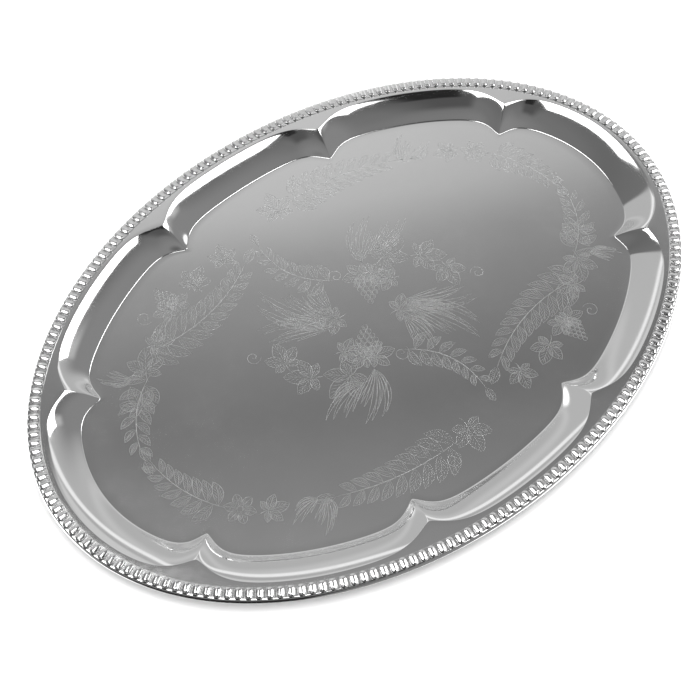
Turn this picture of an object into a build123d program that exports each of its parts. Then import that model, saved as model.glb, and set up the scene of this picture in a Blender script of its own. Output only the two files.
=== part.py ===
from build123d import *

import bisect
import math
import os

# Oval serving tray: a pressed, chrome-plated steel pan with an eight-lobed well, a gadrooned
# border soldered round its rim, and a stiffening wire rolled into the rim's edge.
#
# Frame: +X along the tray's length, +Y across it, +Z up. The origin is on the surface that the
# tray rests on, under the middle of its floor. Millimetres.
#
# The tray is laid out from one line, the rim: the plan ellipse that the rolled edge touches. A
# place on the tray is a distance along the rim and an inset, how far in from it.

# Driving dimensions
LENGTH = 410.0  # over the rolled edge
WIDTH = 290.0
SHEET = 0.7  # thickness of the pan's sheet
WELL_DEPTH = 9.5  # from the flange's top down to the floor's

# Section of the well at the middle of a lobe
FLANGE_INSET = 9.6  # inner edge of the flat flange, a crease
CREASE_SLOPE = 17.0  # degrees, the slope just inside the crease
SHOULDER_RADIUS = 47.0  # convex, from the crease down to the wall
WALL_SLOPE = 37.0  # degrees
FLOOR_FILLET = 2.0  # concave radius between wall and floor

# Lobes: eight, parted by cusps that point to the middle
CUSP_ANGLES = (30.7, 72.3)  # eccentric angles of the cusps in the first quarter, degrees
CUSP_DEPTH = 9.6  # how far a cusp reaches in past the middle of a lobe
CUSP_LENGTH_TOP = 13.5  # length of rim over which a cusp fades, for its outline on the flange
CUSP_LENGTH_FLOOR = 9.8  # the same for its outline on the floor
CUSP_SHARPNESS = 1.4
POINTS_PER_HALF_LOBE = 9
POINT_CROWDING = 1.6  # above 1 sets an outline's points closer together near the cusps

# Rolled edge, with the wire inside it; the rim line is the roll's outermost line
ROLL_RADIUS = 1.8
ROLL_TURN = 290.0  # degrees that the sheet turns through
FLANGE_OVERLAP = 3.0  # width of flat flange that is made together with the roll
WIRE_CLEARANCE = 0.05

# Gadrooned border: a flat strip on the flange that joins the gadroons
GADROONS = 208
HEAD_RADIUS = 2.35  # a gadroon's round inner end
HEAD_INSET = 5.2  # its middle
HEAD_SINK = 0.8  # from the flange's top down to its middle
TIP_RADIUS = 2.0  # a gadroon's round outer end
TIP_INSET = 2.5
TIP_SINK = 1.3
GADROON_CLEARANCE = 0.05  # from the flange up to a gadroon's seat
STRIP_THICKNESS = 0.3
STRIP_INSET = 7.4  # inner edge of the strip
STRIP_WIDTH = 2.6

# Worked out
HALF_LENGTH = LENGTH / 2
HALF_WIDTH = WIDTH / 2
FLANGE_TOP = SHEET + WELL_DEPTH


def wall_width():
    """Plan width from the edge of the floor to the edge of the flange."""
    slope = math.radians(WALL_SLOPE)
    crease = math.radians(CREASE_SLOPE)
    run = SHOULDER_RADIUS * (math.sin(slope) - math.sin(crease)) + FLOOR_FILLET * math.sin(slope)
    drop = SHOULDER_RADIUS * (math.cos(crease) - math.cos(slope)) + FLOOR_FILLET * (1 - math.cos(slope))
    return run + (WELL_DEPTH - drop) / math.tan(slope)


FLOOR_INSET = FLANGE_INSET + wall_width()  # edge of the flat floor


# The rim line


def rim_table(steps=3600):
    """Distance along the rim at even steps of the eccentric angle."""
    distances = [0.0]
    for k in range(steps):
        angle = 2 * math.pi * (k + 0.5) / steps
        speed = math.hypot(HALF_LENGTH * math.sin(angle), HALF_WIDTH * math.cos(angle))
        distances.append(distances[-1] + speed * 2 * math.pi / steps)
    return distances


RIM_TABLE = rim_table()
RIM_STEPS = len(RIM_TABLE) - 1
RIM_LENGTH = RIM_TABLE[-1]


def rim_distance(degrees):
    """Distance along the rim to an eccentric angle between 0 and 360 degrees."""
    step = degrees / 360 * RIM_STEPS
    low = int(step)
    return RIM_TABLE[low] + (step - low) * (RIM_TABLE[low + 1] - RIM_TABLE[low])


def rim_angle(distance):
    """Eccentric angle, in radians, at a distance along the rim."""
    distance = distance % RIM_LENGTH
    low = min(bisect.bisect_right(RIM_TABLE, distance), RIM_STEPS) - 1
    part = (distance - RIM_TABLE[low]) / (RIM_TABLE[low + 1] - RIM_TABLE[low])
    return 2 * math.pi * (low + part) / RIM_STEPS


def outward(distance):
    """Plan direction straight out of the rim, in radians from +X."""
    angle = rim_angle(distance)
    return math.atan2(math.sin(angle) / HALF_WIDTH, math.cos(angle) / HALF_LENGTH)


def place(distance, inset, height):
    """The point at a distance along the rim, an inset from it and a height."""
    angle = rim_angle(distance)
    direction = outward(distance)
    return Vector(
        HALF_LENGTH * math.cos(angle) - inset * math.cos(direction),
        HALF_WIDTH * math.sin(angle) - inset * math.sin(direction),
        height,
    )


# The lobed outline


def cusp_distances():
    """Distances along the rim of the eight cusps, in order."""
    quarter = list(CUSP_ANGLES)
    half = quarter + [180 - degrees for degrees in reversed(quarter)]
    return [rim_distance(degrees) for degrees in half + [180 + degrees for degrees in half]]


CUSPS = cusp_distances()


def cusp_reach(gap, inset):
    """How much further in an outline lies at a distance along the rim from its nearest cusp."""
    share = (inset - FLANGE_INSET) / (FLOOR_INSET - FLANGE_INSET)
    length = CUSP_LENGTH_TOP + share * (CUSP_LENGTH_FLOOR - CUSP_LENGTH_TOP)
    return CUSP_DEPTH * math.exp(-((gap / length) ** CUSP_SHARPNESS))


def lobe_steps():
    """Fractions of a lobe's length at which its outline has points."""
    halves = [
        0.5 * (k / POINTS_PER_HALF_LOBE) ** POINT_CROWDING for k in range(POINTS_PER_HALF_LOBE + 1)
    ]
    return halves + [1 - fraction for fraction in reversed(halves[:-1])]


def outline(inset, height):
    """The closed outline whose lobes lie at an inset from the rim."""
    steps = lobe_steps()
    edges = []
    for k, start in enumerate(CUSPS):
        length = (CUSPS[(k + 1) % len(CUSPS)] - start) % RIM_LENGTH
        points = []
        for fraction in steps:
            reach = cusp_reach(length * min(fraction, 1 - fraction), inset)
            points.append(place(start + length * fraction, inset + reach, height))
        edges.append(Edge.make_spline(points, parameters=steps))
    return Wire(edges)


# The pan


def arc_stations(first, last, count):
    """Evenly spaced slopes from first to last, in radians."""
    return [math.radians(first + (last - first) * k / (count - 1)) for k in range(count)]


def floor_fillet(offset):
    """Section of the floor's fillet, as (inset, height), on a surface offset into the sheet."""
    stations = []
    for slope in arc_stations(0, WALL_SLOPE, 3):
        radius = FLOOR_FILLET + offset
        inset = FLOOR_INSET - radius * math.sin(slope)
        stations.append((inset, SHEET + FLOOR_FILLET - radius * math.cos(slope)))
    return stations


def shoulder(offset):
    """Section of the shoulder, from the wall up to the crease, like floor_fillet."""
    crease = math.radians(CREASE_SLOPE)
    centre_inset = FLANGE_INSET - SHOULDER_RADIUS * math.sin(crease)
    centre_height = FLANGE_TOP - SHOULDER_RADIUS * math.cos(crease)
    radius = SHOULDER_RADIUS - offset
    stations = []
    for slope in arc_stations(WALL_SLOPE, CREASE_SLOPE, 4):
        inset = centre_inset + radius * math.sin(slope)
        stations.append((inset, centre_height + radius * math.cos(slope)))
    stations[-1] = (stations[-1][0], FLANGE_TOP - offset)
    return stations


def dish(offset):
    """The solid bounded by the well's inner surface, or by one offset into the sheet."""
    low = floor_fillet(offset)
    high = shoulder(offset)
    layers = [low, [low[-1], high[0]], high]
    solids = []
    for layer in layers:
        wires = [outline(inset, height) for inset, height in layer]
        solids.append(Solid.make_loft(wires, ruled=len(layer) == 2))
    return solids[0] + solids[1] + solids[2]


def section_point(inset, height):
    """A point of a section that is swept round the rim, drawn where the rim crosses +X."""
    return Vector(HALF_LENGTH - inset, 0, height)


def on_roll(radius, degrees):
    """A point round the roll's axis: 90 degrees is on top and 0 is on the outside."""
    angle = math.radians(degrees)
    height = FLANGE_TOP - ROLL_RADIUS + radius * math.sin(angle)
    return section_point(ROLL_RADIUS - radius * math.cos(angle), height)


def roll_arc(radius, start, end):
    """An arc round the roll's axis."""
    middle = (start + end) / 2
    return Edge.make_three_point_arc(
        on_roll(radius, start), on_roll(radius, middle), on_roll(radius, end)
    )


def join(*edges):
    """A closed section: edges in order, with a straight line over each gap between them."""
    closed = []
    for k, edge in enumerate(edges):
        closed.append(edge)
        gap_end = edges[(k + 1) % len(edges)] @ 0
        if (gap_end - edge @ 1).length > 1e-6:
            closed.append(Edge.make_line(edge @ 1, gap_end))
    return closed


def oval(inset):
    """The flat oval that lies at an inset from the rim."""
    return Ellipse(HALF_LENGTH - inset, HALF_WIDTH - inset)


def swept(section):
    """A closed section swept once round the rim."""
    rim = Wire([Edge.make_ellipse(HALF_LENGTH, HALF_WIDTH)])
    return sweep(Face(Wire(section)), path=rim)


def make_pan():
    """Floor, wall and flange from one sheet, whose edge is rolled under."""
    inner = ROLL_RADIUS - SHEET
    end = 90 - ROLL_TURN
    overlap = ROLL_RADIUS + FLANGE_OVERLAP
    underside = Edge.make_line(
        section_point(overlap, FLANGE_TOP - SHEET), section_point(overlap, FLANGE_TOP)
    )
    edge = swept(join(underside, roll_arc(ROLL_RADIUS, 90, end), roll_arc(inner, end, 90)))
    flange = extrude(oval(ROLL_RADIUS + FLANGE_OVERLAP / 2), SHEET)
    return Pos(0, 0, FLANGE_TOP - SHEET) * flange + edge + dish(SHEET) - dish(0)


# The wire and the border


def make_wire():
    """The round wire that the edge is rolled round."""
    radius = ROLL_RADIUS - SHEET - WIRE_CLEARANCE
    return swept([roll_arc(radius, 90, -90), roll_arc(radius, -90, -270)])


def make_gadroon():
    """One gadroon: a tapered bead with round ends, cut flat where it sits on the flange.

    Here +X is straight out of the rim, and the origin is on the rim at the flange's top.
    """
    run = HEAD_INSET - TIP_INSET
    fall = TIP_SINK - HEAD_SINK
    length = math.hypot(run, fall)
    taper = math.asin((HEAD_RADIUS - TIP_RADIUS) / length)
    diagonal = math.sin(math.pi / 4)
    profile = [
        Edge.make_three_point_arc(
            (-HEAD_RADIUS, 0),
            (-HEAD_RADIUS * diagonal, HEAD_RADIUS * diagonal),
            (HEAD_RADIUS * math.sin(taper), HEAD_RADIUS * math.cos(taper)),
        ),
        Edge.make_three_point_arc(
            (length + TIP_RADIUS * math.sin(taper), TIP_RADIUS * math.cos(taper)),
            (length + TIP_RADIUS * diagonal, TIP_RADIUS * diagonal),
            (length + TIP_RADIUS, 0),
        ),
    ]
    bead = Solid.revolve(Face(Wire(join(*profile))), 360, Axis.X)
    tilt = math.degrees(math.atan2(fall, run))
    bead = Pos(-HEAD_INSET, 0, -HEAD_SINK) * Rot(0, tilt, 0) * bead
    return split(bead, Plane.XY.offset(GADROON_CLEARANCE), keep=Keep.TOP)


def make_border():
    """The strip and its gadroons, evenly spaced along the rim."""
    strip = extrude(oval(STRIP_INSET - STRIP_WIDTH) - oval(STRIP_INSET), STRIP_THICKNESS)
    strip = Pos(0, 0, FLANGE_TOP) * strip
    gadroon = make_gadroon()
    gadroons = []
    for k in range(GADROONS):
        distance = RIM_LENGTH * k / GADROONS
        turn = Rot(0, 0, math.degrees(outward(distance)))
        gadroons.append(Pos(*place(distance, 0, FLANGE_TOP)) * turn * gadroon)
    return strip + gadroons


if __name__ == "__main__":
    os.makedirs("parts", exist_ok=True)
    export_step(make_pan(), "parts/tray_pan.step")
    export_step(make_wire(), "parts/rim_wire.step")
    export_step(make_border(), "parts/gadroon_border.step")
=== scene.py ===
"""The looks of an oval serving tray: a lobed pan, a gadrooned border and an engraved floor, in chrome."""

import math

import bmesh
import bpy
import numpy as np
from mathutils import Matrix, Vector


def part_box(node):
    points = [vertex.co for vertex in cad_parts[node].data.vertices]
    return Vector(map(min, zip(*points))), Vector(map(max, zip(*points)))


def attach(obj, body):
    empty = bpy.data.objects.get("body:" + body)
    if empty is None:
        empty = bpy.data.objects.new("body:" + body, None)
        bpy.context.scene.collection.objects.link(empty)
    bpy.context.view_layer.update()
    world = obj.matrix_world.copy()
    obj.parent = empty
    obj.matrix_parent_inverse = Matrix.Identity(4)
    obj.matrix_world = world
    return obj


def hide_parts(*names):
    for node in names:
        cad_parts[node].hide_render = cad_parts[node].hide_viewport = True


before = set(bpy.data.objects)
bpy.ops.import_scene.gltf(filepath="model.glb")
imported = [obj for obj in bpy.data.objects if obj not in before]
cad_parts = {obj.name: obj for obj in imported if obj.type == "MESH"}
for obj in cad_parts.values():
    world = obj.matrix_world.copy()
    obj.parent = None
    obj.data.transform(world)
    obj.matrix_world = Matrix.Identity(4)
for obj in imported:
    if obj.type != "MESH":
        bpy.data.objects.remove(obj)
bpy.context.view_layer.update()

MM = 0.001

# The tray's overall sizes come from the frame
pan_low, pan_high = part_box("tray_pan")
HALF_LENGTH = pan_high[0]
HALF_WIDTH = pan_high[1]
FLANGE_TOP = pan_high[2]

# Section of the sheet. An inset is a distance inwards from the rim line. All is as in the CAD part
# except for CREASE_RADIUS and ROLL_SQUARENESS: there the crease is sharp and the roll is round.
SHEET = 0.7 * MM
FLANGE_INSET = 9.6 * MM
CREASE_SLOPE = math.radians(17)
CREASE_RADIUS = 1.0 * MM
SHOULDER_RADIUS = 47 * MM
WALL_SLOPE = math.radians(37)
FLOOR_FILLET = 2 * MM
ROLL_RADIUS = 1.8 * MM
ROLL_TURN = math.radians(290)
ROLL_SQUARENESS = 3.2  # 2 is a round roll
WELL_DEPTH = FLANGE_TOP - SHEET

# Lobes and cusps
CUSP_ANGLES = (30.7, 72.3)  # eccentric angles in the first quarter, degrees
CUSP_DEPTH = 9.6 * MM
CUSP_LENGTH_TOP = 13.5 * MM
CUSP_LENGTH_FLOOR = 9.8 * MM
CUSP_SHARPNESS = 1.4
COLUMNS_PER_HALF_LOBE = 48
COLUMN_CROWDING = 1.5
# Counts of points on the fillet, the shoulder and the crease, and on the roll
UPPER_POINTS = (9, 14, 6)
UPPER_ROLL_POINTS = 40
LOWER_POINTS = (5, 8, 4)
LOWER_ROLL_POINTS = 24

# Gadroons
GADROONS = 208
GADROON_HALF_WIDTH = 2.05 * MM
GADROON_HEIGHT = 1.45 * MM
GADROON_FOOT = -0.3 * MM  # how far the gadroons go into the flange
GADROON_INNER_INSET = 7.3 * MM
GADROON_OUTER_INSET = 0.75 * MM
CROWN_HALF_WIDTH = 0.5 * MM
BEVEL_HALF_WIDTH = 1.6 * MM
BEVEL_SLOPE = math.radians(11.5)
STRIP_THICKNESS = 0.3 * MM
STRIP_INSET = 7.4 * MM
STRIP_WIDTH = 2.6 * MM

# Engraved lines
ENGRAVING_FOOT = SHEET - 0.02 * MM
ENGRAVING_TOP = SHEET + 0.035 * MM
STROKE_END = 0.35  # a stroke's width at its ends, as a part of its full width

# Studio
TABLE_HALF = 8.0
TABLE_TOP = -0.05 * MM  # just under the tray, so that the two don't share a plane
BACKDROP_RADIUS = 7.8
BACKDROP_COLUMNS = 48
BACKDROP_ROWS = 12

# Camera: it looks at a point of the floor, from a place given about the middle of the floor
CAMERA_PLACE = Vector((-222.4, -262.7, 554.8)) * MM
CAMERA_AIM = Vector((-22.8, -12.0, 0.0)) * MM
CAMERA_ROLL = math.radians(-0.56)
CAMERA_LENS = 58.8


# The rim line and the places laid out from it


def rim_table(steps=7200):
    """Eccentric angles and the distances along the rim that they stand at."""
    angles = np.linspace(0, 2 * np.pi, steps + 1)
    middle = (angles[:-1] + angles[1:]) / 2
    speed = np.hypot(HALF_LENGTH * np.sin(middle), HALF_WIDTH * np.cos(middle))
    distances = np.concatenate([[0.0], np.cumsum(speed * 2 * np.pi / steps)])
    return angles, distances


RIM_ANGLES, RIM_DISTANCES = rim_table()
RIM_LENGTH = RIM_DISTANCES[-1]


def rim_frame(distances):
    """Plan points of the rim line and its outward directions, as arrays."""
    angles = np.interp(np.mod(distances, RIM_LENGTH), RIM_DISTANCES, RIM_ANGLES)
    points = np.stack([HALF_LENGTH * np.cos(angles), HALF_WIDTH * np.sin(angles)], axis=1)
    outward = np.stack([np.cos(angles) / HALF_LENGTH, np.sin(angles) / HALF_WIDTH], axis=1)
    return points, outward / np.linalg.norm(outward, axis=1, keepdims=True)


def cusp_distances():
    """Distances along the rim that the eight cusps stand at."""
    quarter = list(CUSP_ANGLES)
    half = quarter + [180 - degrees for degrees in reversed(quarter)]
    degrees = np.array(half + [180 + angle for angle in half])
    return np.interp(np.radians(degrees), RIM_ANGLES, RIM_DISTANCES)


CUSPS = cusp_distances()


def wall_width():
    """Plan width from the edge of the floor to the edge of the flange."""
    run = SHOULDER_RADIUS * (math.sin(WALL_SLOPE) - math.sin(CREASE_SLOPE))
    run += FLOOR_FILLET * math.sin(WALL_SLOPE)
    drop = SHOULDER_RADIUS * (math.cos(CREASE_SLOPE) - math.cos(WALL_SLOPE))
    drop += FLOOR_FILLET * (1 - math.cos(WALL_SLOPE))
    return run + (WELL_DEPTH - drop) / math.tan(WALL_SLOPE)


FLOOR_INSET = FLANGE_INSET + wall_width()


def column_distances():
    """Distances along the rim of the mesh's columns, closer together near the cusps."""
    half = 0.5 * np.linspace(0, 1, COLUMNS_PER_HALF_LOBE + 1) ** COLUMN_CROWDING
    lobe = np.concatenate([half, 1 - half[-2:0:-1]])
    columns = []
    for k, start in enumerate(CUSPS):
        length = (CUSPS[(k + 1) % len(CUSPS)] - start) % RIM_LENGTH
        columns.append(start + length * lobe)
    return np.concatenate(columns)


COLUMNS = column_distances()
COLUMN_POINTS, COLUMN_OUTWARD = rim_frame(COLUMNS)


def cusp_reach(distances, inset):
    """How much further in the lobed outline lies at each distance along the rim."""
    around = np.mod(distances[:, None] - CUSPS[None, :] + RIM_LENGTH / 2, RIM_LENGTH)
    gap = np.abs(around - RIM_LENGTH / 2).min(axis=1)
    share = (inset - FLANGE_INSET) / (FLOOR_INSET - FLANGE_INSET)
    length = CUSP_LENGTH_TOP + share * (CUSP_LENGTH_FLOOR - CUSP_LENGTH_TOP)
    return CUSP_DEPTH * np.exp(-((gap / length) ** CUSP_SHARPNESS))


def ring(inset, height, lobed=1.0):
    """One ring of the mesh. lobed runs from 1, the full cusps, to 0, parallel to the rim."""
    depth = inset + lobed * cusp_reach(COLUMNS, inset)
    flat = COLUMN_POINTS - COLUMN_OUTWARD * depth[:, None]
    return np.column_stack([flat, np.full(len(flat), height)])


# Mesh helpers


def new_object(name, vertices, faces, smooth=True):
    mesh = bpy.data.meshes.new(name)
    mesh.from_pydata([tuple(v) for v in vertices], [], faces)
    mesh.update()
    mesh.polygons.foreach_set("use_smooth", [smooth] * len(mesh.polygons))
    obj = bpy.data.objects.new(name, mesh)
    bpy.context.scene.collection.objects.link(obj)
    return obj


def ring_faces(rows, columns, closed=False):
    """Quads between consecutive rings, each of the same number of columns."""
    faces = []
    last = rows if closed else rows - 1
    for i in range(last):
        low, high = i * columns, ((i + 1) % rows) * columns
        for j in range(columns):
            k = (j + 1) % columns
            faces.append((low + j, low + k, high + k, high + j))
    return faces


def face_outwards(obj):
    """Makes a closed mesh's normals point outwards."""
    work = bmesh.new()
    work.from_mesh(obj.data)
    bmesh.ops.recalc_face_normals(work, faces=work.faces)
    work.to_mesh(obj.data)
    work.free()


# The pan


def well_section(offset, steps):
    """Insets and heights from the floor's edge to the flange's, on a surface offset into the sheet.

    steps are the counts of points on the fillet, the shoulder and the crease.
    """
    fillet = []
    for slope in np.linspace(0, WALL_SLOPE, steps[0]):
        radius = FLOOR_FILLET + offset
        height = SHEET + FLOOR_FILLET - radius * math.cos(slope)
        fillet.append((FLOOR_INSET - radius * math.sin(slope), height))

    centre_inset = FLANGE_INSET - SHOULDER_RADIUS * math.sin(CREASE_SLOPE)
    centre_height = FLANGE_TOP - SHOULDER_RADIUS * math.cos(CREASE_SLOPE)
    radius = SHOULDER_RADIUS - offset
    crease_run = CREASE_RADIUS * math.tan(CREASE_SLOPE / 2)
    crease_start = CREASE_SLOPE + crease_run / SHOULDER_RADIUS
    shoulder = []
    for slope in np.linspace(WALL_SLOPE, crease_start, steps[1]):
        height = centre_height + radius * math.cos(slope)
        shoulder.append((centre_inset + radius * math.sin(slope), height))

    crease = []
    radius = CREASE_RADIUS - offset
    for slope in np.linspace(CREASE_SLOPE, 0, steps[2])[1:]:
        height = FLANGE_TOP - CREASE_RADIUS + radius * math.cos(slope)
        crease.append((FLANGE_INSET - crease_run + radius * math.sin(slope), height))

    low, high = fillet[-1], shoulder[0]
    wall = [tuple(np.array(low) + (np.array(high) - low) * part) for part in (0.33, 0.67)]
    return fillet + wall + shoulder + crease


def roll_section(radius, start, end, count):
    """Insets and heights round the roll's axis, on a circle that is squared towards its corners."""
    stations = []
    for angle in np.linspace(start, end, count):
        across, upward = math.cos(angle), math.sin(angle)
        size = abs(across) ** ROLL_SQUARENESS + abs(upward) ** ROLL_SQUARENESS
        size **= -1 / ROLL_SQUARENESS
        height = FLANGE_TOP - ROLL_RADIUS + radius * size * upward
        stations.append((ROLL_RADIUS - radius * size * across, height))
    return stations


def surface_rings(offset, steps, roll_steps):
    """Rings of one face of the sheet, from the middle of the floor to the end of the roll."""
    section = well_section(offset, steps)
    edge = ring(*section[0])
    rings = []
    for share in (0.02, 0.3, 0.6, 0.85, 0.97):
        rings.append(edge * [share, share, 1])
    rings += [ring(inset, height) for inset, height in section]
    for share in (0.75, 0.4):
        inset = ROLL_RADIUS + (FLANGE_INSET - ROLL_RADIUS) * share
        rings.append(ring(inset, FLANGE_TOP - offset, lobed=share))
    top = math.pi / 2
    for inset, height in roll_section(ROLL_RADIUS - offset, top, top - ROLL_TURN, roll_steps):
        rings.append(ring(inset, height, lobed=0))
    return rings


def make_pan():
    upper = surface_rings(0, UPPER_POINTS, UPPER_ROLL_POINTS)
    lower = surface_rings(SHEET, LOWER_POINTS, LOWER_ROLL_POINTS)
    rings = upper + lower[::-1]
    columns = len(COLUMNS)
    vertices = np.concatenate(rings + [[[0, 0, SHEET], [0, 0, 0]]])
    faces = ring_faces(len(rings), columns)
    top, bottom = len(vertices) - 2, len(vertices) - 1
    last = (len(rings) - 1) * columns
    for j in range(columns):
        k = (j + 1) % columns
        faces.append((top, k, j))
        faces.append((bottom, last + j, last + k))
    pan = new_object("pan_chrome", vertices, faces)
    face_outwards(pan)
    pan.data.set_sharp_from_angle(angle=math.radians(60))
    return pan


# The border


def gadroon_profile():
    """Distances from the spine and heights: a level crown, a gentle bevel and a steep round side."""
    edge_height = GADROON_HEIGHT - (BEVEL_HALF_WIDTH - CROWN_HALF_WIDTH) * math.tan(BEVEL_SLOPE)
    profile = [(0.1 * CROWN_HALF_WIDTH, GADROON_HEIGHT), (CROWN_HALF_WIDTH, GADROON_HEIGHT)]
    for part in (0.15, 0.5, 0.85):
        away = CROWN_HALF_WIDTH + part * (BEVEL_HALF_WIDTH - CROWN_HALF_WIDTH)
        profile.append((away, GADROON_HEIGHT + part * (edge_height - GADROON_HEIGHT)))
    for angle in np.linspace(0, math.pi / 2, 7):
        away = BEVEL_HALF_WIDTH + (GADROON_HALF_WIDTH - BEVEL_HALF_WIDTH) * math.sin(angle)
        profile.append((away, edge_height * math.cos(angle)))
    profile.append((GADROON_HALF_WIDTH, GADROON_FOOT))
    return profile


def gadroon_mesh():
    """One gadroon, with +X straight out of the rim and the origin on the rim at the flange's top."""
    inner = GADROON_HALF_WIDTH - GADROON_INNER_INSET
    outer = -GADROON_OUTER_INSET - GADROON_HALF_WIDTH
    ends = [(outer, angle) for angle in np.linspace(-90, 90, 11)]
    ends += [(inner, angle) for angle in np.linspace(90, 270, 11)]
    vertices = []
    profile = gadroon_profile()
    for away, height in profile:
        for centre, degrees in ends:
            angle = math.radians(degrees)
            vertices.append((centre + away * math.cos(angle), away * math.sin(angle), height))
    faces = ring_faces(len(profile), len(ends))
    last = len(vertices) - len(ends)
    faces.append(tuple(range(len(ends))))
    faces.append(tuple(range(last, len(vertices)))[::-1])
    return np.array(vertices), faces


def make_border():
    bead, bead_faces = gadroon_mesh()
    distances = RIM_LENGTH * np.arange(GADROONS) / GADROONS
    points, outward = rim_frame(distances)
    blocks = []
    faces = []
    for k in range(GADROONS):
        x_axis = outward[k]
        y_axis = np.array([-x_axis[1], x_axis[0]])
        flat = points[k] + bead[:, :1] * x_axis + bead[:, 1:2] * y_axis
        blocks.append(np.column_stack([flat, bead[:, 2] + FLANGE_TOP]))
        start = k * len(bead)
        faces += [tuple(v + start for v in face) for face in bead_faces]

    inner, outer = STRIP_INSET, STRIP_INSET - STRIP_WIDTH
    top = FLANGE_TOP + STRIP_THICKNESS
    lip = 0.15 * MM
    section = [(inner, FLANGE_TOP), (inner, top - lip), (inner - lip, top)]
    section += [(outer, top), (outer, FLANGE_TOP)]
    start = GADROONS * len(bead)
    blocks += [ring(inset, height, lobed=0) for inset, height in section]
    strip = ring_faces(len(section), len(COLUMNS), closed=True)
    faces += [tuple(v + start for v in face) for face in strip]
    border = new_object("border_gadroons", np.concatenate(blocks), faces)
    face_outwards(border)
    border.data.set_sharp_from_angle(angle=math.radians(35))
    return border


# The engraving: strokes are (points, width) in millimetres, drawn along +X from the motif's foot


def unit(degrees):
    """A direction of length 1."""
    return np.array([math.cos(math.radians(degrees)), math.sin(math.radians(degrees))])


def curve_points(start, end, bow, count=7):
    """Points of a bowed line. bow is how far its middle stands to the left, as a part of its length."""
    start, end = np.array(start, float), np.array(end, float)
    t = np.linspace(0, 1, count)[:, None]
    along = end - start
    left = np.array([-along[1], along[0]])
    return start + t * along + 4 * bow * t * (1 - t) * left


def moved(strokes, x, y, degrees):
    """Strokes turned about their origin and then moved to (x, y)."""
    c, s = math.cos(math.radians(degrees)), math.sin(math.radians(degrees))
    turn = np.array([[c, s], [-s, c]])
    return [(points @ turn + [x, y], width) for points, width in strokes]


def leaflet(length, width=0.24, bow=0.0, hatches=5):
    """A pointed leaf: two edges, a rib, and hatches on both sides of it. width is a part of its length."""
    rib, left, right = (
        curve_points((0, 0), (length, 0), bow + side * width, 9) for side in (0, 1, -1)
    )
    strokes = [(left, 0.34), (right, 0.34), (rib, 0.3)]
    for k in range(1, hatches + 1):
        for edge in (left, right):
            end = 0.15 * rib[k + 2] + 0.85 * edge[k + 2]
            strokes.append((curve_points(rib[k], end, 0.0, 3), 0.26))
    return strokes


def vine_leaf(length):
    """A leaf of five points, with a stalk."""
    strokes = [(curve_points((-0.35 * length, -0.05 * length), (0, 0), 0.1, 4), 0.4)]
    for degrees, part in ((0, 0.72), (55, 0.6), (-55, 0.6), (112, 0.42), (-112, 0.42)):
        strokes += moved(leaflet(length * part, 0.27), 0, 0, degrees)
    return strokes


def fan(length, spread, lines, bow):
    """A feathery spray of long lines from one foot, in pairs that meet at their tips."""
    strokes = []
    for k in range(lines):
        part = 2 * k / (lines - 1) - 1
        for shift in (-0.5, 0.5):
            angle = math.radians(spread / 2 * part)
            reach = length * (1 - 0.38 * part * part) * (0.86 + 0.14 * math.cos(1.9 * k))
            end = reach * np.array([math.cos(angle), math.sin(angle)])
            line = curve_points((0, 0), end, bow + 0.1 * part + 0.07 * shift, 11)
            strokes.append((line, 0.32))
    return strokes


def branch(start, end, bow, pairs, size):
    """A bowed stem with pairs of leaves that get smaller towards its tip."""
    stem = curve_points(start, end, bow, 2 * pairs + 3)
    along = np.gradient(stem, axis=0)
    strokes = [(stem, 0.5)]
    for k in range(pairs):
        index = 2 * k + 1
        degrees = math.degrees(math.atan2(along[index][1], along[index][0]))
        length = size * (1 - 0.45 * k / pairs)
        for side in (-1, 1):
            turn = degrees + side * (58 - 24 * k / pairs)
            strokes += moved(leaflet(length, 0.2, side * 0.1), *stem[index + (side > 0)], turn)
    degrees = math.degrees(math.atan2(along[-1][1], along[-1][0]))
    return strokes + moved(leaflet(0.7 * size), *stem[-1], degrees)


def grapes(length):
    """A bunch of round berries in staggered rows, with a stalk and two leaves."""
    rows = (3, 4, 5, 4, 3, 2, 1)
    step = length / (len(rows) + 0.4)
    turn = np.linspace(0, 2 * math.pi, 11)
    strokes = [(curve_points((-0.25 * length, -1), (0, 0), 0.15, 5), 0.45)]
    for row, count in enumerate(rows):
        for k in range(count):
            middle = np.array([step * (row + 0.5), (k - (count - 1) / 2) * step * 1.12])
            berry = middle + 0.54 * step * np.column_stack([np.cos(turn), np.sin(turn)])
            strokes.append((berry, 0.34))
            shine = middle + 0.27 * step * np.column_stack([np.cos(turn[1:6]), np.sin(turn[1:6])])
            strokes.append((shine, 0.3))
    for side in (-1, 1):
        strokes += moved(vine_leaf(0.8 * length), 0, side * 0.12 * length, side * 75)
    return strokes


def tendril(size, turns=1.4):
    """A curl that winds in to its end."""
    t = np.linspace(0, 1, 26)
    angle = 2 * math.pi * turns * t
    radius = size * 0.5 * (1 - t) ** 0.8
    flat = np.column_stack([size * 0.5 - radius * np.cos(angle), radius * np.sin(angle)])
    return [(flat, 0.36)]


def blossom(size):
    """A flower of six petals round a small ring."""
    strokes = []
    for k in range(6):
        strokes += moved(leaflet(0.42 * size, 0.34, 0, 3), *(0.1 * size * unit(60 * k)), 60 * k)
    turn = np.linspace(0, 2 * math.pi, 9)
    strokes.append((0.1 * size * np.column_stack([np.cos(turn), np.sin(turn)]), 0.36))
    return strokes


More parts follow.
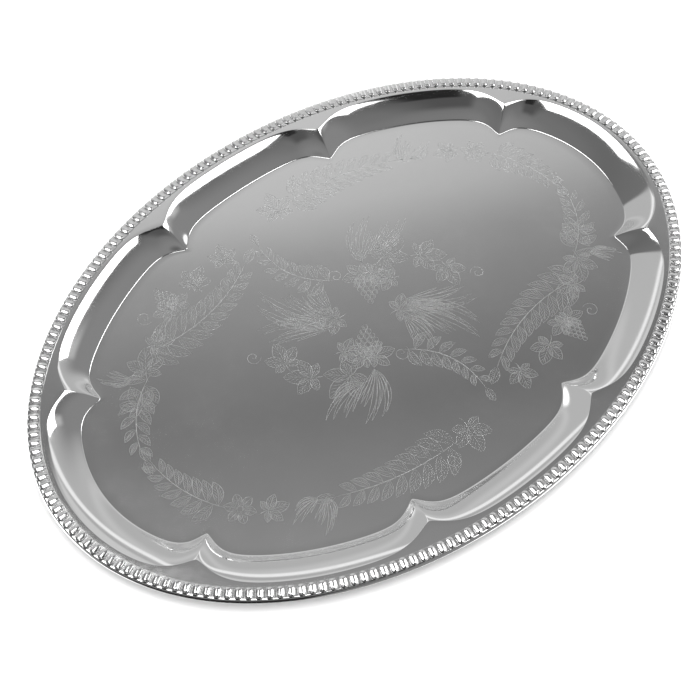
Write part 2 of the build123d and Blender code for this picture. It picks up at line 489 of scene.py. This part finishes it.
def ornament():
    """Half of the ornament; the other half is the same, turned by half a turn."""
    strokes = []
    for motif, x, y, degrees in (
        # Around the middle
        (grapes(22), 17, 22, 238),
        (vine_leaf(25), 33, 25, 12),
        (vine_leaf(22), 50, 12, -38),
        (vine_leaf(20), 56, -4, -100),
        (vine_leaf(17), 26, 11, 150),
        (fan(36, 44, 9, 0.1), 20, 30, 48),
        (fan(32, 40, 8, -0.12), 30, 33, 12),
        (fan(50, 34, 10, 0.1), 20, -9, -60),
        (fan(42, 36, 9, -0.12), 24, -6, -34),
        (fan(28, 46, 8, 0.1), 15, -14, -88),
        (vine_leaf(19), 16, -9, -14),
        (tendril(10), 3, -30, 200),
        (tendril(9), 64, -16, -30),
        # The wreath
        (vine_leaf(22), 4, 90, 80),
        (tendril(10), 18, 97, 20),
        (fan(22, 50, 7, 0.1), 88, 73, 50),
        (fan(20, 44, 6, -0.1), 92, 71, 5),
        (blossom(17), 127, 50, 10),
        (vine_leaf(16), 116, 60, 160),
        (vine_leaf(20), 134, -32, -100),
        (vine_leaf(21), 119, -49, -120),
        (vine_leaf(18), 106, -60, 165),
        (fan(20, 50, 7, 0.12), 128, -50, -40),
        (grapes(18), 84, -74, -88),
        (vine_leaf(19), 66, -80, -150),
        (vine_leaf(17), 42, -82, -110),
        (tendril(10), 98, -74, -60),
    ):
        strokes += moved(motif, x, y, degrees)
    strokes += branch((0, -30), (20, -78), 0.16, 7, 13)
    strokes += branch((12, 92), (84, 76), 0.06, 9, 17)
    strokes += branch((133, 44), (148, -2), 0.08, 7, 14)
    strokes += branch((118, -46), (150, -4), -0.12, 6, 14)
    strokes += branch((112, -58), (34, -72), -0.1, 10, 17)
    return strokes + moved(strokes, 0, 0, 180)


def make_engraving():
    """Low ridges on the floor, three-sided and closed, that taper to their ends."""
    vertices = []
    faces = []
    for points, width in ornament():
        along = np.gradient(points, axis=0)
        along /= np.maximum(np.linalg.norm(along, axis=1, keepdims=True), 1e-6)
        left = np.column_stack([-along[:, 1], along[:, 0]])
        part = np.linspace(0, 1, len(points))[:, None]
        half = 0.5 * width * (STROKE_END + (1 - STROKE_END) * np.sin(math.pi * part) ** 0.5)
        start = len(vertices)
        for middle, side in zip(points, left * half):
            low = ENGRAVING_FOOT
            vertices.append((*((middle + side) * MM), low))
            vertices.append((*((middle - side) * MM), low))
            vertices.append((*(middle * MM), ENGRAVING_TOP))
        for k in range(len(points) - 1):
            a, b = start + 3 * k, start + 3 * k + 3
            faces += [(a, b, b + 2, a + 2), (a + 1, a + 2, b + 2, b + 1), (a, a + 1, b + 1, b)]
        last = start + 3 * (len(points) - 1)
        faces += [(start, start + 2, start + 1), (last, last + 1, last + 2)]
    engraving = new_object("floor_engraving", vertices, faces, smooth=False)
    face_outwards(engraving)
    return engraving


# Materials


def node_material(name):
    material = bpy.data.materials.new(name)
    material.use_nodes = True
    nodes = material.node_tree.nodes
    return material, nodes, material.node_tree.links, nodes["Principled BSDF"]


def noise(nodes, links, scale, detail, roughness=0.5):
    """Noise laid out in the object's own coordinates."""
    place = nodes.new("ShaderNodeTexCoord")
    node = nodes.new("ShaderNodeTexNoise")
    node.inputs["Scale"].default_value = scale
    node.inputs["Detail"].default_value = detail
    node.inputs["Roughness"].default_value = roughness
    links.new(place.outputs["Object"], node.inputs["Vector"])
    return node.outputs["Fac"]


def spread(nodes, links, value, start, end, at_start, at_end):
    """value, stretched so that start to end becomes at_start to at_end."""
    node = nodes.new("ShaderNodeMapRange")
    node.inputs["From Min"].default_value = start
    node.inputs["From Max"].default_value = end
    node.inputs["To Min"].default_value = at_start
    node.inputs["To Max"].default_value = at_end
    links.new(value, node.inputs["Value"])
    return node.outputs["Result"]


def grey_colour(nodes, links, value):
    node = nodes.new("ShaderNodeCombineColor")
    for channel in ("Red", "Green", "Blue"):
        links.new(value, node.inputs[channel])
    return node.outputs["Color"]


def chrome(name, grey, roughness, wear):
    """Bright plating: fine rubbing marks in the roughness, and the slight waviness of pressed sheet."""
    material, nodes, links, shader = node_material(name)
    shader.inputs["Metallic"].default_value = 1.0

    cloud = noise(nodes, links, 22, 6)
    tint = spread(nodes, links, cloud, 0.35, 0.65, grey - 0.012, grey + 0.012)
    links.new(grey_colour(nodes, links, tint), shader.inputs["Base Color"])

    rub = noise(nodes, links, 160, 8, 0.7)
    marks = nodes.new("ShaderNodeMath")
    marks.operation = "MULTIPLY"
    links.new(cloud, marks.inputs[0])
    links.new(rub, marks.inputs[1])
    rough = spread(nodes, links, marks.outputs["Value"], 0.15, 0.4, roughness, roughness + wear)
    links.new(rough, shader.inputs["Roughness"])

    bump = nodes.new("ShaderNodeBump")
    bump.inputs["Strength"].default_value = 0.15
    bump.inputs["Distance"].default_value = 0.02 * MM
    links.new(noise(nodes, links, 30, 1), bump.inputs["Height"])
    links.new(bump.outputs["Normal"], shader.inputs["Normal"])
    return material


def grained(name, scale, detail, dark, light, roughness):
    """Matt metal with fine grain. dark and light are a place on the grain's ramp and a colour there."""
    material, nodes, links, shader = node_material(name)
    shader.inputs["Metallic"].default_value = 1.0
    grain = noise(nodes, links, scale, detail)
    ramp = nodes.new("ShaderNodeValToRGB")
    for element, (position, colour) in zip(ramp.color_ramp.elements, (dark, light)):
        element.position = position
        element.color = (*colour, 1)
    links.new(grain, ramp.inputs["Fac"])
    links.new(ramp.outputs["Color"], shader.inputs["Base Color"])
    links.new(spread(nodes, links, grain, 0, 1, *roughness), shader.inputs["Roughness"])
    return material


def frosted():
    """Plating scored by a graver: bright and matt."""
    dark, light = (0.35, (0.66, 0.67, 0.67)), (0.65, (0.88, 0.88, 0.88))
    return grained("engraved_plating", 1500, 3, dark, light, (0.38, 0.6))


def drawn_steel():
    """The bare wire in the rolled edge."""
    dark, light = (0, (0.32, 0.32, 0.33)), (1, (0.6, 0.6, 0.61))
    return grained("drawn_steel", 900, 4, dark, light, (0.25, 0.5))


def paint(obj, material):
    obj.data.materials.clear()
    obj.data.materials.append(material)


# The studio


def heading():
    """Plan directions away from the camera and to its right."""
    away = (CAMERA_AIM - CAMERA_PLACE).to_2d().normalized()
    return away, Vector((away.y, -away.x))


def make_camera():
    camera = bpy.data.objects.new("camera", bpy.data.cameras.new("camera"))
    bpy.context.scene.collection.objects.link(camera)
    camera.data.sensor_width = 36
    camera.data.lens = CAMERA_LENS
    camera.data.clip_start = 0.01
    floor_top = Vector((0, 0, SHEET))
    turn = (CAMERA_AIM - CAMERA_PLACE).to_track_quat("-Z", "Y").to_matrix().to_4x4()
    roll = Matrix.Rotation(CAMERA_ROLL, 4, "Z")
    camera.matrix_world = Matrix.Translation(CAMERA_PLACE + floor_top) @ turn @ roll
    bpy.context.scene.camera = camera


def make_table():
    """A plain pale surface that the tray rests on."""
    half = TABLE_HALF
    corners = [(-half, -half), (half, -half), (half, half), (-half, half)]
    vertices = [(x, y, TABLE_TOP) for x, y in corners]
    table = new_object("table", vertices, [(0, 1, 2, 3)], smooth=False)
    material, nodes, links, shader = node_material("pale_table")
    shader.inputs["Base Color"].default_value = (0.9, 0.9, 0.9, 1)
    shader.inputs["Roughness"].default_value = 0.8
    paint(table, material)
    table.visible_glossy = False


def make_backdrop():
    """A plain pale dome round the table's edge. Only the camera sees it, so it changes no reflection."""
    rings = []
    turn = np.linspace(0, 2 * math.pi, BACKDROP_COLUMNS, endpoint=False)
    for height in np.linspace(0, 0.5 * math.pi, BACKDROP_ROWS, endpoint=False):
        flat = BACKDROP_RADIUS * math.cos(height) * np.column_stack([np.cos(turn), np.sin(turn)])
        level = np.full(BACKDROP_COLUMNS, BACKDROP_RADIUS * math.sin(height))
        rings.append(np.column_stack([flat, level]))
    faces = ring_faces(BACKDROP_ROWS, BACKDROP_COLUMNS)
    count = BACKDROP_ROWS * BACKDROP_COLUMNS
    faces.append(tuple(range(count - BACKDROP_COLUMNS, count)))
    dome = new_object("backdrop", np.concatenate(rings), faces)
    material, nodes, links, shader = node_material("pale_backdrop")
    shader.inputs["Base Color"].default_value = (0, 0, 0, 1)
    shader.inputs["Specular IOR Level"].default_value = 0
    shader.inputs["Emission Color"].default_value = (0.94, 0.94, 0.94, 1)
    shader.inputs["Emission Strength"].default_value = 1.0
    paint(dome, material)
    for kind in ("diffuse", "glossy", "transmission", "volume_scatter", "shadow"):
        setattr(dome, "visible_" + kind, False)


def make_lamp():
    """Broad soft light from above, which mirrors don't show: it lights the table."""
    lamp = bpy.data.lights.new("soft_light", "SUN")
    lamp.angle = math.radians(57)
    lamp.energy = 3.0
    light = bpy.data.objects.new("soft_light", lamp)
    bpy.context.scene.collection.objects.link(light)
    light.visible_glossy = False


class Sums:
    """Short names for the number nodes that the room is worked out with."""

    def __init__(self, tree):
        self.nodes, self.links = tree.nodes, tree.links

    def feed(self, socket, value):
        if isinstance(value, (int, float)):
            socket.default_value = value
        else:
            self.links.new(value, socket)

    def do(self, operation, first, second=0.0):
        node = self.nodes.new("ShaderNodeMath")
        node.operation = operation
        self.feed(node.inputs[0], first)
        self.feed(node.inputs[1], second)
        return node.outputs["Value"]

    def fade(self, value, start, end, at_start=0.0, at_end=1.0):
        """A smooth step in value, between start and end."""
        node = self.nodes.new("ShaderNodeMapRange")
        node.interpolation_type = "SMOOTHSTEP"
        self.feed(node.inputs["Value"], value)
        for name, number in zip(
            ("From Min", "From Max", "To Min", "To Max"), (start, end, at_start, at_end)
        ):
            node.inputs[name].default_value = number
        return node.outputs["Result"]

    def curve(self, value, low, high, stops, kind="EASE"):
        """A grey ramp over value, given as pairs of value and level."""
        part = self.do("DIVIDE", self.do("SUBTRACT", value, low), high - low)
        node = self.nodes.new("ShaderNodeValToRGB")
        node.color_ramp.interpolation = kind
        elements = node.color_ramp.elements
        while len(elements) < len(stops):
            elements.new(0.5)
        for element, (at, level) in zip(elements, stops):
            element.position = (at - low) / (high - low)
            element.color = (level, level, level, 1)
        self.links.new(part, node.inputs["Fac"])
        return node.outputs["Color"]

    def over(self, below, above, mask):
        """above where mask is 1, below where it is 0."""
        step = self.do("SUBTRACT", above, below)
        return self.do("ADD", below, self.do("MULTIPLY", step, mask))

    def turned(self, right, far, middle, turn):
        """The place's distances from the middle, along axes turned by turn degrees."""
        c, s = math.cos(math.radians(turn)), math.sin(math.radians(turn))
        across = self.do("SUBTRACT", right, middle[0])
        along = self.do("SUBTRACT", far, middle[1])
        x = self.do("ADD", self.do("MULTIPLY", across, c), self.do("MULTIPLY", along, s))
        y = self.do("SUBTRACT", self.do("MULTIPLY", along, c), self.do("MULTIPLY", across, s))
        return x, y

    def panel(self, right, far, middle, half_size, turn, blur):
        """A mask for a turned rectangle of sky. blur is in degrees."""
        mask = 1.0
        for value, half in zip(self.turned(right, far, middle, turn), half_size):
            edge = self.fade(self.do("ABSOLUTE", value), half - blur, half + blur, 1.0, 0.0)
            mask = self.do("MULTIPLY", edge, mask)
        return mask

    def oval(self, right, far, middle, radii, turn, blur):
        """A mask for a turned oval of sky. blur is a part of its radii."""
        x, y = self.turned(right, far, middle, turn)
        x = self.do("DIVIDE", x, radii[0])
        y = self.do("DIVIDE", y, radii[1])
        out = self.do("ADD", self.do("MULTIPLY", x, x), self.do("MULTIPLY", y, y))
        return self.fade(self.do("SQRT", out), 1 - blur, 1 + blur, 1.0, 0.0)


# The room that the tray mirrors: pairs of a direction, in degrees from straight up to the far side,
# and the grey there. The grey card's directions are slanted a little to the right.
ROOM_LEVELS = [(-60, 0.03), (-46, 0.24), (-18, 0.18), (6, 0.15), (29, 0.17)]
ROOM_LEVELS += [(31.5, 0.5), (60, 0.5), (68, 0.58), (78, 0.48)]
CARD_LEVELS = [(17.5, 0.29), (20.5, 0.265), (24, 0.225), (27, 0.185), (30, 0.22)]
CARD_LEVELS += [(33, 0.285), (35, 0.34), (37.5, 0.525), (40, 0.58)]
CARD_SLANT = 0.14


def make_world():
    """The studio that the tray mirrors, laid out in degrees from straight up, right and far."""
    world = bpy.data.worlds.new("studio")
    bpy.context.scene.world = world
    world.use_nodes = True
    nodes, links = world.node_tree.nodes, world.node_tree.links
    sums = Sums(world.node_tree)
    place = nodes.new("ShaderNodeTexCoord")
    away, side = heading()

    def along(direction):
        node = nodes.new("ShaderNodeVectorMath")
        node.operation = "DOT_PRODUCT"
        node.inputs[1].default_value = direction
        links.new(place.outputs["Generated"], node.inputs[0])
        return node.outputs["Value"]

    up = along((0, 0, 1))
    far = along((away.x, away.y, 0))
    right = along((side.x, side.y, 0))
    zenith = sums.do("MULTIPLY", sums.do("ARCCOSINE", up), 180 / math.pi)
    level = sums.do("ADD", sums.do("MULTIPLY", far, far), sums.do("MULTIPLY", right, right))
    level = sums.do("SQRT", sums.do("ADD", level, 1e-9))
    far = sums.do("MULTIPLY", sums.do("DIVIDE", far, level), zenith)
    right = sums.do("MULTIPLY", sums.do("DIVIDE", right, level), zenith)

    light = sums.curve(far, -120, 120, ROOM_LEVELS)
    side_wall = sums.do("MULTIPLY", sums.fade(right, 18, 46), sums.fade(far, 60, 34))
    light = sums.over(light, 0.25, side_wall)
    # The white horizon to the left and right
    horizon = sums.fade(sums.do("ABSOLUTE", right), 50, 66)
    horizon = sums.do("MULTIPLY", horizon, sums.fade(zenith, 76, 82))
    light = sums.over(light, 2.0, sums.do("MULTIPLY", horizon, sums.fade(far, -60, -20)))
    for level, mask, middle, size, turn, blur in (
        # Light ring round the grey card, and the darker strip inside it
        (0.95, sums.oval, (1, 43), (21.5, 24.5), 0, 0.06),
        (0.44, sums.oval, (1, 43), (17.5, 19.5), 0, 0.06),
        (0.64, sums.oval, (1, 41), (16, 16), 0, 0.06),
        # The glow beside the right softbox, and a dark patch of room on the camera's side of both
        (0.5, sums.panel, (33, 23), (6, 6), -15, 4),
        (0.09, sums.panel, (4, -10), (9, 12), 0, 5),
        # Two softboxes, and the black gap between them
        (4.0, sums.panel, (-11.5, 11), (12.8, 7), -43, 0.5),
        (4.0, sums.panel, (21, 16), (5.5, 14.5), -22, 0.5),
        (0.02, sums.panel, (7, 3), (4, 8), 0, 1.4),
    ):
        light = sums.over(light, level, mask(right, far, middle, size, turn, blur))
    # The grey card that the flat parts mirror
    slanted = sums.do("SUBTRACT", far, sums.do("MULTIPLY", right, CARD_SLANT))
    card = sums.curve(slanted, 0, 60, CARD_LEVELS, "LINEAR")
    card = sums.do("MULTIPLY", card, sums.fade(right, -5, 20, 1.04, 0.86))
    light = sums.over(light, card, sums.oval(right, far, (0.6, 30.2), (18.8, 15.2), 12, 0.03))
    links.new(grey_colour(nodes, links, light), nodes["Background"].inputs["Color"])


# Building


pan = make_pan()
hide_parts("tray_pan")
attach(pan, "root")
paint(pan, chrome("pan_plating", 0.88, 0.045, 0.06))

border = make_border()
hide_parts("gadroon_border")
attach(border, "root")
paint(border, chrome("border_plating", 0.9, 0.08, 0.06))

engraving = make_engraving()
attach(engraving, "root")
paint(engraving, frosted())

paint(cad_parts["rim_wire"], drawn_steel())

make_table()
make_backdrop()
make_lamp()
make_world()
make_camera()
bpy.context.scene.view_settings.view_transform = "Standard"
